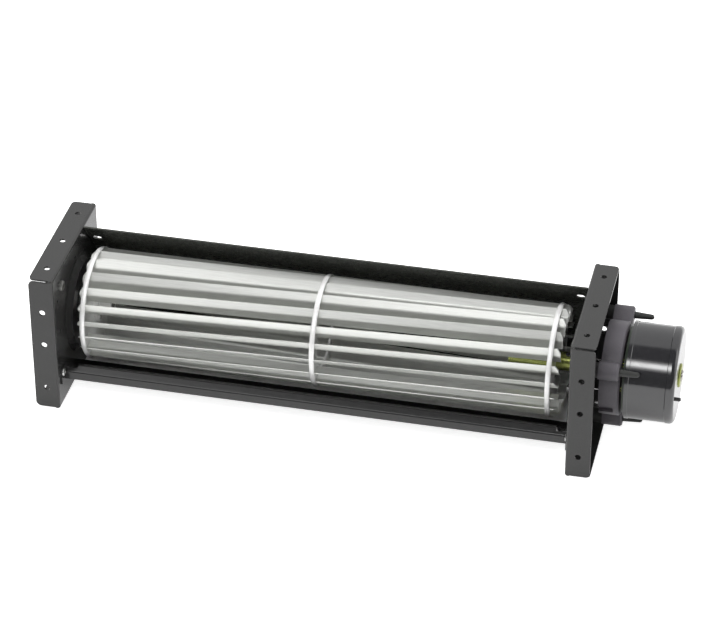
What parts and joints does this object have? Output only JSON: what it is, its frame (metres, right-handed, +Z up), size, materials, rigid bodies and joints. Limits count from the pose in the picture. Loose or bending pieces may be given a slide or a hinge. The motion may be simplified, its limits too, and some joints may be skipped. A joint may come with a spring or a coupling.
{
  "type": "cross flow fan",
  "caption": "Long cross flow fan: a bladed drum between two flanged end plates, with a scroll wall, a tongue and a rubber-mounted outer-rotor motor on one end.",
  "frame": {"origin": "midway between the end plates, at the middle of their depth, on the underside of the bottom flanges", "axes": "+X along the drum towards the motor, +Y from front to back, +Z up"},
  "size_m": [0.3369, 0.08, 0.08],
  "materials": {
    "housing_paint": "satin black powder coat",
    "sheet_paint": "semi-gloss black paint",
    "blade_aluminium": "bright rolled strip",
    "disc_aluminium": "bright pressed",
    "rivet_metal": "plain",
    "zinc_steel": "zinc plated",
    "shaft_steel": "ground",
    "rubber": "matte",
    "bronze": "sintered",
    "brass": "turned",
    "carrier_plastic": "fine moulded grain",
    "tube_metal": "turned",
    "core_steel": "laminated",
    "copper": "enamelled winding wire",
    "board": "coated board",
    "magnet": "bonded ferrite",
    "can_paint": "gloss black",
    "pin_black": "blackened",
    "washer_nylon": "natural"
  },
  "bodies": {
    "frame": {"bearing_rubber": "rubber", "bearing_tube": "tube_metal", "circuit_board": "board", "earth_nut": "zinc_steel", "earth_screw": "zinc_steel", "isolator_back": "rubber", "isolator_bottom": "rubber", "isolator_front": "rubber", "left_bearing": "bronze", "left_end_plate": "housing_paint", "motor_bearing_inner": "shaft_steel", "motor_bearing_outer": "shaft_steel", "motor_bracket": "carrier_plastic", "motor_screws": "zinc_steel", "rear_wall": "sheet_paint", "right_end_plate": "housing_paint", "sheet_rivets_left": "rivet_metal", "sheet_rivets_right": "rivet_metal", "stator_coils": "copper", "stator_core": "core_steel", "tongue": "sheet_paint"},
    "impeller": {"blade_01": "blade_aluminium", "blade_02": "blade_aluminium", "blade_03": "blade_aluminium", "blade_04": "blade_aluminium", "blade_05": "blade_aluminium", "blade_06": "blade_aluminium", "blade_07": "blade_aluminium", "blade_08": "blade_aluminium", "blade_09": "blade_aluminium", "blade_10": "blade_aluminium", "blade_11": "blade_aluminium", "blade_12": "blade_aluminium", "blade_13": "blade_aluminium", "blade_14": "blade_aluminium", "blade_15": "blade_aluminium", "blade_16": "blade_aluminium", "blade_17": "blade_aluminium", "blade_18": "blade_aluminium", "blade_19": "blade_aluminium", "blade_20": "blade_aluminium", "disc_left": "disc_aluminium", "disc_middle": "disc_aluminium", "disc_right": "disc_aluminium", "hub_left": "brass", "hub_right": "brass", "hub_rivets_left": "rivet_metal", "hub_rivets_right": "rivet_metal", "grub_screw": "zinc_steel", "stub_shaft": "shaft_steel", "thrust_washer": "washer_nylon", "motor_shaft": "shaft_steel", "shaft_clip": "zinc_steel", "rotor_can": "can_paint", "magnet_ring": "magnet", "can_boss": "brass", "balance_pin": "pin_black"}
  },
  "joints": [
    {"name": "impeller_spin", "type": "hinge", "parent": "frame", "child": "impeller", "pos_m": [0, 0.0054, 0.04], "axis": [1, 0, 0], "continuous": true}
  ]
}
